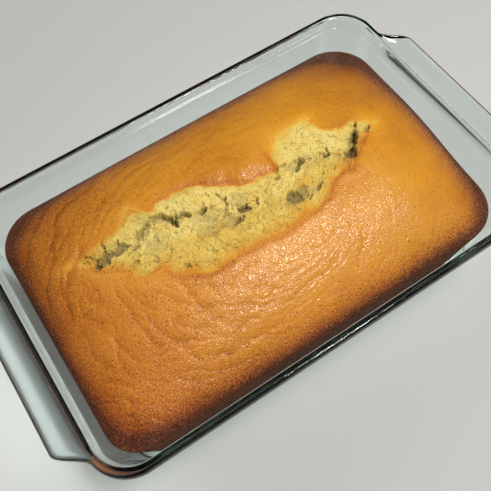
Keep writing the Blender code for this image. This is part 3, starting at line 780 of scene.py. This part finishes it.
def broad_dips(x, y):
    """Depth of the crumb's broad dips: turned ellipses on bent coordinates with smooth rims; the deepest."""
    bent_x, bent_y = bent(x, y, 1.6, 5.0, (141, 145), 3)
    return DIP_DEPTH * np.maximum.reduce([depth * step(ellipse_reach(bent_x, bent_y, *dip), 1.1, 0.65)
                                          for *dip, depth in DIPS])


def torn_pits(x, y):
    """Hollows, pits and slits: outlines, ellipses and lines on bent coordinates; the deepest counts.

    A hollow has a steep rim and a flat floor, a pit likewise, and a slit narrows to its ends.
    """
    torn_x, torn_y = bent(x, y, 0.8, 2.4, (91, 95), 3, fall=0.6)
    depths = [depth * step(outline_depth(torn_x, torn_y, outline), -0.5, rim - 0.5)
              for outline, depth, rim in HOLLOWS]
    depths += [depth * step(ellipse_reach(torn_x, torn_y, *pit), 1.15, 0.80) for *pit, depth in PITS]
    slit_x, slit_y = bent(x, y, 0.7, 2.6, (93, 97), 3, fall=0.6)
    for line, half, depth in SLITS:
        distance, _, share = line_distance(slit_x, slit_y, line)
        width = half * (0.45 + 0.55 * np.sqrt(np.clip(4.0 * share * (1.0 - share), 0.0, 1.0)))
        depths.append(depth * step(distance / width, 1.3, 0.7))
    return np.maximum.reduce(depths)


def crumb_pores(x, y):
    """Gas bubbles cut open: round pits of random size, in some of the cells of a grid."""
    depth = np.zeros_like(x)
    for size, seed, most in BUBBLES:
        distance, number = nearest_dot(x / size, y / size, seed)
        radius = most * np.clip((number - 0.45) / 0.55, 0.0, 1.0) + 1e-6
        bubble = np.sqrt(np.clip(1.0 - (distance / radius) ** 2, 0.0, 1.0))
        depth = np.maximum(depth, bubble * radius * size * 1.8)
    return depth


def torn_shelves(x, y):
    """Thin torn layers: low steps along level lines of layered noise, and a painted shadow at each step's
    foot.
    """
    height = np.full_like(x, -0.4)
    shelf_shadow = np.zeros_like(x)
    for long, wide, seed, foot, slope, rise, shade in SHELVES:
        level = layered_noise(x / long, y / wide, seed, 4)
        height += rise * smooth((level - foot) / slope)
        shelf_shadow = np.maximum(shelf_shadow, shade * bell(level - foot + 0.03, 0.05))
    return height, shelf_shadow


def torn_crumb(x, y, inside):
    """Height of the crumb over the crust's level, its pits, its nugget, its moist crumb with painted
    shade, and painted shade deep in its hollows.

    Its level is overlaid with lumps, torn layers, broad dips, bubbles and one loose nugget.
    """
    level, trench, beside = crumb_level(*table_place(x, y, 3.4 * step(inside, 0.0, 6.0)))
    level_part = level * step(inside, 0.0, 5.0)
    drawn = table_place(x, y, -level_part)
    pits = torn_pits(*drawn)
    dips = broad_dips(*drawn)
    nugget = step(ellipse_reach(*drawn, *NUGGET), 1.8, 0.8)
    pores = crumb_pores(x, y)
    shelves, shelf_shadow = torn_shelves(x, y)
    lumps = (0.80 * soft_noise(x / 11.0, y / 9.0, 121) + 0.75 * clumps(x / 6.5, y / 5.5, 124)
             + 0.62 * clumps(x / 3.4, y / 3.0, 128) + 0.22 * soft_noise(x / 1.5, y / 1.5, 133)
             + 0.14 * soft_noise(x / 0.8, y / 0.8, 137) + NUGGET_HEIGHT * nugget - dips)
    height = (level_part + (lumps + shelves) * (0.15 + 0.85 * step(inside, 1.0, 5.0))
              - pores * step(inside, 0.0, 1.5) + 0.07 * soft_noise(x / 0.7, y / 0.7, 131))
    # Painted shade: the crumb greys where the crevice and pits are deeper
    damp_and_shade = np.clip((trench + pits - 0.7) / 1.6, 0.0, 1.0)
    # Painted shade, darker, deep in the crevice, pits and pores
    deep = np.clip((trench + pits + 0.9 * pores - 1.1) / 2.8, 0.0, 1.0)
    # Moist crumb with painted shade beside the crevice, in the dips and on low lumps, and painted shadow at
    # the torn layers' steps
    valley_damp_and_shade = 0.15 * step(np.abs(beside + 1.4), 2.0, -0.6) + 0.50 * dips + 0.3 * step(lumps, -0.4, -1.3)
    valley_damp_and_shade = np.maximum(valley_damp_and_shade, 0.45 * shelf_shadow) * step(inside, 0.0, 4.0) * (1.0 - nugget)
    return height, pits, nugget, np.maximum(damp_and_shade, valley_damp_and_shade) * (1.0 - 0.7 * nugget), deep


def bread_surface(x, y, s, t):
    """Points of the bread's upper surface over places x, y, and what its finish needs to know, with
    the masks of painted shade in creases, valleys and pits.

    Crust is the dome with its wrinkles and lips. Within the tear it is the crumb's level with
    lumps, shelves, hollows and pores.
    """
    inside = inside_tear(x, y)
    aside = np.maximum(-inside, 0.0)
    to_edge = edge_distance(x, y)
    soft = edge_softness(x, y)
    relief, crease_shade = crust_relief(x, y, aside, to_edge)
    relief += lip_relief(x, y, aside)
    crumb, pits, nugget, damp_and_shade, deep = torn_crumb(x, y, inside)
    z = dome_height(s, t) + relief * (1.0 - 0.8 * step(inside, 0.0, 5.0))
    z += crumb * smooth(inside / (1.0 + 3.0 * soft)) - 0.8 * pits * smooth((inside + 1.5 + 5.0 * soft) / 1.5)
    points = np.stack([stand_back(x, y), y, z], axis=-1) + OFF_MIDDLE
    toasting = crumb_toasting(x, y, inside, soft) - 0.4 * nugget
    looks = {"crumb": crumb_share(x, y, inside, soft), "toasting": np.clip(toasting, 0.0, 1.0),
             "damp_and_shade": damp_and_shade, "deep": deep, "gold": crust_gold(x, y, aside),
             "browning": crust_browning(x, y, aside, to_edge, soft, crease_shade),
             "dry": np.clip(step(x, -20.0, -60.0) + step(to_edge, 18.0, 4.0), 0.0, 1.0),
             "matt": np.maximum(bell(aside, 1.6) * (1.0 - soft), step(to_edge, 7.0, 0.0))}
    return points, looks, inside


def crumb_share(x, y, inside, soft):
    """1 on open crumb, 0 on crust: a step across the lip, wide and soft where the tear stretched."""
    width = 0.8 + 4.5 * soft
    ragged = 0.5 * layered_noise(x / 3.0, y / 3.0, 151, 3)
    return smooth((inside + 0.45 * width + ragged) / width)


def crumb_toasting(x, y, inside, soft):
    """How golden the crumb is: most beside the lips and at the tear's left end, least in the middle."""
    near_side = step(over_tear(x, y), 4.0, -4.0)
    right_end = step(x, 18.0, 22.0) * step(y, 2.0, 8.0)
    rim_width = 1.6 + 2.2 * near_side + 1.8 * soft + 1.4 * right_end
    rim = (0.50 + 0.16 * near_side + 0.20 * soft) * np.exp(-np.maximum(inside, 0.0) / rim_width)
    ends = 0.30 * step(x, -60.0, -74.0) - 0.10 * step(x, 18.0, 26.0) * step(y, -8.0, 0.0)
    clouds = 0.17 * layered_noise(x / 8.0, y / 8.0, 155, 4, fall=0.6)
    return np.clip(0.10 + 0.27 * near_side + rim + ends + mounds(x, y, TOASTED) + clouds, 0.0, 1.0)


def crust_gold(x, y, aside):
    """How yellow the crust's brown is: more to the far side and the right, less at the far lip."""
    lip = bell(aside, 5.0) * step(y, 0.0, 6.0) * step(x, 22.0, 16.0)
    return np.clip(0.35 + 0.45 * step(y, -10.0, 30.0) - 0.35 * step(x, -40.0, -80.0)
                   + 0.45 * step(x, 20.0, 60.0) - 0.45 * lip, 0.0, 1.0)


def crust_browning(x, y, aside, to_edge, soft, crease_shade):
    """How brown the crust is, from 0 to 1: pale at the tear, golden on top and dark at the edge.

    The edges and corners darken by exponentials of the distance to them, and the tear's rim is
    paler, with a brown line behind it. The creases and wrinkle grooves are darkened as painted shade.
    """
    from_end = np.maximum(LOAF_X - np.abs(x), 0.0)
    from_side = np.maximum(LOAF_Y - np.abs(y), 0.0)
    right = step(x, 0.0, 20.0)
    far = step(y, 0.0, 20.0)
    far_corner = step(y, -20.0, 20.0) * step(x, -20.0, 20.0)
    edge = ((0.44 + 0.14 * right) * np.exp(-from_end / (5.0 + 2.0 * right))
            + (0.48 + 0.02 * far) * np.exp(-from_side / (5.0 + 2.5 * far)) + 0.24 * np.exp(-to_edge / 3.0)
            + (0.8 + 1.6 * far_corner) * np.exp(-(from_end + from_side) / 12.5))
    upper = step(y, -3.0, 3.0)
    rim = ((0.15 - 0.07 * upper) * bell(aside - 0.9, 1.6) * (1.0 - soft)
           - 0.30 * soft * np.exp(-aside / 4.5) - (0.03 + 0.15 * upper) * np.exp(-aside / 0.9)
           + 0.05 * bell(aside, 3.6) * (y > 0.0) * step(x, 19.5, 16.5) * step(x, -20.0, -8.0))
    # Darker towards the far side, the left and the right end. On the far side and the left this is partly
    # browning and partly painted shade.
    drift = (0.05 * y / LOAF_Y - 0.02 * x / LOAF_X + 0.04 * step(x, -30.0, -70.0)
             + 0.02 * step(x, 10.0, 40.0) + 0.05 * step(x, 35.0, 85.0)
             + 0.03 * step(x, 50.0, 70.0) * step(y, 20.0, 40.0)
             + 0.035 * step(x, -50.0, -20.0) * step(y, 4.0, 20.0))
    clouds = 0.04 * layered_noise(x / 30.0, y / 22.0, 161, 3)
    # Painted shade: the crease and groove mask adds to the browning
    return np.clip(0.42 + edge + rim + drift + mounds(x, y, BROWNER) + clouds + 0.11 * crease_shade, 0.0, 1.0)


def round_corners(x, y):
    """Turn the square corners of the bread's grid into round ones; the rest stays where it is."""
    radius = np.where((x < 0) & (y < 0), SHARP_R, LOAF_R)
    over_x = np.maximum(np.abs(x) - (LOAF_X - radius), 0.0)
    over_y = np.maximum(np.abs(y) - (LOAF_Y - radius), 0.0)
    large = np.maximum(over_x, over_y)
    small = np.minimum(over_x, over_y)
    turn = math.pi / 4 * small / np.maximum(large, 1e-9)
    moved_large = large * np.cos(turn)
    moved_small = large * np.sin(turn)
    new_x = np.where(over_x >= over_y, moved_large, moved_small)
    new_y = np.where(over_x >= over_y, moved_small, moved_large)
    new_x = np.where(over_x > 0, np.sign(x) * (LOAF_X - radius + new_x), x)
    new_y = np.where(over_y > 0, np.sign(y) * (LOAF_Y - radius + new_y), y)
    return new_x, new_y


def stand_back(x, y):
    """The right end, moved in from the glass, most of all at its near corner."""
    return x - STAND_BACK * step(x, 35.0, LOAF_X) * step(y, 14.0, -50.0)


def crust_places():
    """Places of the crust grid: columns along the bread, rows bent to run beside the tear's lips.

    Columns and rows draw together towards the bread's edges, by a quarter of a sine.
    """
    place = np.linspace(-1.0, 1.0, CRUST_COLUMNS)
    columns = LOAF_X * ((1.0 - EDGE_PULL) * place + EDGE_PULL * np.sin(math.pi / 2 * place))
    far, near = tear_lips(columns)
    middle = (far + near) / 2.0
    half = np.maximum((far - near) / 2.0, LEAST_HALF)
    side = np.full_like(columns, LOAF_Y)
    near_out, near_in, far_in, far_out = LIP_BANDS
    lines = (-side, middle - half + near_out, middle - half + near_in,
             middle + half + far_in, middle + half + far_out, side)
    last = len(CRUST_ROWS) - 1
    blocks = []
    for number, count in enumerate(CRUST_ROWS):
        first_gap = 0.0 if number == 0 else 0.5
        gaps = count - (0.5 if number in (0, last) else 0.0)
        share = (np.arange(count) + first_gap) / gaps
        if number == 0:
            share = (1.0 - EDGE_PULL) * share + EDGE_PULL * (1.0 - np.cos(math.pi / 2 * share))
        if number == last:
            share = (1.0 - EDGE_PULL) * share + EDGE_PULL * np.sin(math.pi / 2 * share)
        start, stop = lines[number], lines[number + 1]
        blocks.append(start[:, None] + (stop - start)[:, None] * share)
    y = np.concatenate(blocks, axis=1)
    return np.repeat(columns[:, None], y.shape[1], axis=1), y


def border(columns, rows):
    """Point numbers round a grid's border, anticlockwise from above."""
    number = np.arange(columns * rows).reshape(columns, rows)
    return np.concatenate([number[:-1, 0], number[-1, :-1], number[:0:-1, -1], number[0, :0:-1]])


def side_levels():
    """Inset and height of levels from the shoulder to the bottom's edge: a lean, then a quarter round."""
    levels = [(SIDE_DRAFT * down, SHOULDER_Z - down * (SHOULDER_Z - LOAF_BOTTOM - HEEL))
              for down in np.linspace(0.0, 1.0, LEAN_ROWS + 1)[1:]]
    levels += [(SIDE_DRAFT + HEEL * (1.0 - math.cos(turn)), LOAF_BOTTOM + HEEL * (1.0 - math.sin(turn)))
               for turn in np.linspace(0.0, math.pi / 2, HEEL_ROWS + 1)[1:]]
    return levels


def build_crust(material):
    """The loaf's closed skin: crust over a trench for the crumb, leaning sides and a flat bottom."""
    x, y = crust_places()
    s = x / LOAF_X
    t = y / LOAF_Y
    x, y = round_corners(x, y)
    points, looks, inside = bread_surface(x, y, s, t)
    points[..., 2] -= CRUST_UNDER * step(inside, 1.2, 2.6)
    points -= OFF_MIDDLE
    columns, rows = x.shape
    upper = border(columns, rows)
    count = len(upper)
    rim_points = points.reshape(-1, 3)[upper]
    all_points = [points.reshape(-1, 3)]
    quads = [grid_quads(columns, rows)]
    browning = []
    start = columns * rows
    angle = np.arange(count) / count * SIDE_CELLS
    for inset, z in side_levels():
        bubbles = 0.35 * soft_noise(angle, np.full(count, z / 5.0), 171, wrap=SIDE_CELLS)
        ring = rim_points.copy()
        ring[:, 0] *= (LOAF_X - inset + bubbles) / LOAF_X
        ring[:, 1] *= (LOAF_Y - inset + bubbles) / LOAF_Y
        ring[:, 2] = z
        lower = start + np.arange(count)
        quads.append(belt_quads(upper, lower))
        all_points.append(ring)
        blotches = soft_noise(angle / 5.0, np.full(count, z / 18.0), 173, wrap=SIDE_CELLS // 5)
        browning.append(SIDE_TONE + 0.03 * blotches)
        upper = lower
        start += count
    sides = dict.fromkeys(looks, np.zeros(start - columns * rows))
    sides["browning"] = np.concatenate(browning)
    sides["dry"] = sides["matt"] = np.ones(start - columns * rows)
    attributes = {label: np.concatenate([values.ravel(), sides[label]]) for label, values in looks.items()}
    crust = make_piece("loaf_crust", np.concatenate(all_points) + OFF_MIDDLE, np.concatenate(quads),
                       [upper[::-1]], material, attributes)
    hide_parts("loaf")


def build_crumb(material):
    """The open crumb as a closed body: a fine torn top that passes under both lips, and a flat foot."""
    columns = np.linspace(TEAR_X[0] - 2.0, TEAR_X[-1] + 2.0, CRUMB_COLUMNS)
    far, near = tear_lips(columns)
    share = np.linspace(0.0, 1.0, CRUMB_ROWS)
    low = near - UNDER_NEAR
    high = far + UNDER_FAR
    y = low[:, None] + (high - low)[:, None] * share
    x = np.repeat(columns[:, None], CRUMB_ROWS, axis=1)
    points, looks, inside = bread_surface(x, y, x / LOAF_X, y / LOAF_Y)
    points[..., 2] -= 0.08 + 1.3 * step(inside, 0.6, -1.0)
    rim = border(CRUMB_COLUMNS, CRUMB_ROWS)
    flat = points.reshape(-1, 3)
    foot = flat[rim].copy()
    foot[:, 2] = CRUMB_FOOT
    foot_numbers = len(flat) + np.arange(len(rim))
    quads = np.concatenate([grid_quads(CRUMB_COLUMNS, CRUMB_ROWS), belt_quads(rim, foot_numbers)])
    attributes = {label: np.concatenate([values.ravel(), np.zeros(len(rim))])
                  for label, values in looks.items()}
    crumb = make_piece("open_crumb", np.concatenate([flat, foot]), quads,
                       [foot_numbers[::-1]], material, attributes)


# ---- glass dish

def handle_share(y):
    """How much of a handle there is at a place across the dish's end: a step over its corner."""
    return step(np.abs(y - TAB_MIDDLE), TAB_END, TAB_END - TAB_FADE)


def rounded_outline(half_x, half_y, radius):
    """Points round a rounded rectangle, and how far each faces along x: arcs joined by lines."""
    pieces = []
    turn = np.linspace(0.0, math.pi / 2, DISH_CORNER)
    side = np.linspace(1.0, -1.0, DISH_SIDE + 2)[1:-1]
    even = np.linspace(1.0, -1.0, DISH_END + 2)[1:-1]
    end = 0.4 * np.sin(math.pi / 2 * even) + 0.6 * even
    for quarter, (sign_x, sign_y) in enumerate(((1, 1), (-1, 1), (-1, -1), (1, -1))):
        angle = turn + quarter * math.pi / 2
        arc_x = sign_x * (half_x - radius) + radius * np.cos(angle)
        arc_y = sign_y * (half_y - radius) + radius * np.sin(angle)
        pieces.append(np.column_stack([arc_x, arc_y, sign_x * np.cos(angle) ** 4]))
        if quarter % 2 == 0:
            line_x = sign_x * (half_x - radius) * side
            pieces.append(np.column_stack([line_x, np.full_like(side, sign_y * half_y), 0 * side]))
        else:
            line_y = sign_y * (half_y - radius) * end
            pieces.append(np.column_stack([np.full_like(end, sign_x * half_x), line_y, 0 * end + sign_x]))
    return np.concatenate(pieces)


def dish_ring(inset, z, reach=0.0, sunk=0.0):
    """One level of the dish. On a handle it moves out by reach and down by sunk."""
    outline = rounded_outline(RIM_X - inset, RIM_Y - inset, RIM_R - 0.55 * inset)
    share = handle_share(outline[:, 1]) * np.abs(outline[:, 2])
    x = outline[:, 0] + outline[:, 2] * share * reach
    return np.column_stack([x, outline[:, 1], z - share * sunk])


def lean(z):
    """How far the wall has moved in at a height."""
    return (DISH_HEIGHT - z) * math.tan(DRAFT)


def rounding_levels(low_inset, floor_z, radius):
    """Inset and height of a quarter round's levels, from a level floor up into the leaning wall."""
    turn = np.linspace(0.0, math.pi / 2, ROUNDING_STEPS + 1)
    return list(zip(low_inset + radius * (1.0 - np.sin(turn)), floor_z + radius * (1.0 - np.cos(turn))))


def dish_rings():
    """Main levels of the dish, from under its base over the rim to its floor."""
    outer_foot = RIM_STEP + lean(FOOT_ROUND)
    inner_foot = WALL + lean(BASE + INNER_ROUND)
    levels = [(outer_foot + FOOT_ROUND + 3.0, 0.0), (outer_foot + FOOT_ROUND + 1.0, 0.0)]
    levels += rounding_levels(outer_foot, 0.0, FOOT_ROUND)
    levels += [(RIM_STEP + lean(z), z) for z in OUTER_WALL_Z]
    levels += [(inset, DISH_HEIGHT + over, reach, sunk) for inset, over, reach, sunk in RIM_LEVELS]
    levels += [(WALL + lean(z), z) for z in INNER_WALL_Z]
    levels += rounding_levels(inner_foot, BASE, INNER_ROUND)[::-1]
    levels += [(inner_foot + INNER_ROUND + 0.4, BASE), (inner_foot + INNER_ROUND + 0.9, BASE)]
    return np.array([dish_ring(*level) for level in levels])


def rounded_rows(rows, steps):
    """Fine rows along a cubic B-spline of the given ones, which rounds every bend between them."""
    padded = np.concatenate([rows[:1], rows, rows[-1:]])
    u = (np.arange(steps) / steps)[None, :, None, None]
    a, b, c, d = (padded[k:len(padded) - 3 + k][:, None] for k in range(4))
    fine = ((1 - u) ** 3 * a + (3 * u ** 3 - 6 * u ** 2 + 4) * b
            + (-3 * u ** 3 + 3 * u ** 2 + 3 * u + 1) * c + u ** 3 * d) / 6.0
    fine = fine.reshape(-1, *rows.shape[1:])
    return np.concatenate([rows[:1], fine, rows[-1:]])


def build_dish(material):
    """The glass dish: its levels rounded by a spline, skinned, and closed under and over the base."""
    rows = rounded_rows(dish_rings(), DISH_STEPS)
    levels, count = rows.shape[:2]
    numbers = np.arange(levels * count).reshape(levels, count)
    quads = np.concatenate([belt_quads(numbers[k + 1], numbers[k]) for k in range(levels - 1)])
    dish = make_piece("glass_loaf_dish", rows.reshape(-1, 3), quads,
                      [numbers[0][::-1], numbers[-1]], material)
    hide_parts("glass_dish")


# ---- floor, light and camera, in metres

SUBJECT = (0.0, 0.0, 0.06)        # what the lights face

# Soft boxes: name, place, size, power, colour and whether gloss reflects them
SOFT_BOXES = (
    ("key_softbox", (0.62, -0.46, 0.98), (0.30, 0.30), 2.4, "#fffaf2", False),
    ("top_softbox", (0.31, -0.24, 1.14), (0.30, 0.22), 10.8, "#fffaf2", True),
    ("fill_softbox", (-0.7, 0.9, 0.8), (1.0, 0.4), 4.0, "#fbf9f4", False))
ROOM_GREY = "#e2dccc"
ROOM_STRENGTH = 0.085

CAMERA_PLACE = (-0.0853, -0.1432, 0.3433)
CAMERA_AIM = (-0.01265, -0.0158, 0.066)
CAMERA_LENS = 51.92               # millimetres, on a 36 mm sensor
CAMERA_ROLL = math.radians(-4.3)


def build_floor(material):
    """A plain pale floor under the dish."""
    bpy.ops.mesh.primitive_plane_add(size=6.0, location=(0.0, 0.0, 0.0))
    floor = bpy.context.object
    floor.name = "floor"
    floor.data.materials.append(material)


def facing(place, aim):
    """The turn of a light or camera at place that looks at aim."""
    return (Vector(aim) - Vector(place)).to_track_quat("-Z", "Y")


def build_lights():
    """A key box high on the right, one over it for the crust's glints, a weak fill and a soft grey room."""
    for name, place, size, power, colour, glossy in SOFT_BOXES:
        light = bpy.data.lights.new(name, "AREA")
        light.shape = "RECTANGLE"
        light.size, light.size_y = size
        light.energy = power
        light.color = linear(colour)[:3]
        holder = bpy.data.objects.new(name, light)
        holder.location = place
        holder.rotation_euler = facing(place, SUBJECT).to_euler()
        holder.visible_glossy = glossy
        bpy.context.scene.collection.objects.link(holder)
    world = bpy.data.worlds.new("soft_room")
    world.use_nodes = True
    background = world.node_tree.nodes["Background"]
    background.inputs["Color"].default_value = linear(ROOM_GREY)
    background.inputs["Strength"].default_value = ROOM_STRENGTH
    bpy.context.scene.world = world


def build_camera():
    """A normal lens looking steeply down over the dish's near left corner."""
    camera = bpy.data.cameras.new("camera")
    camera.lens = CAMERA_LENS
    camera.sensor_width = 36.0
    holder = bpy.data.objects.new("camera", camera)
    holder.location = CAMERA_PLACE
    holder.rotation_mode = "QUATERNION"
    roll = Quaternion((0.0, 0.0, 1.0), CAMERA_ROLL)
    holder.rotation_quaternion = facing(CAMERA_PLACE, CAMERA_AIM) @ roll
    bpy.context.scene.collection.objects.link(holder)
    bpy.context.scene.camera = holder


bread = baked_bread()
build_crust(bread)
build_crumb(bread)
build_dish(pressed_glass())
build_floor(matt_board())
build_lights()
build_camera()

bpy.context.scene.view_settings.view_transform = "Standard"
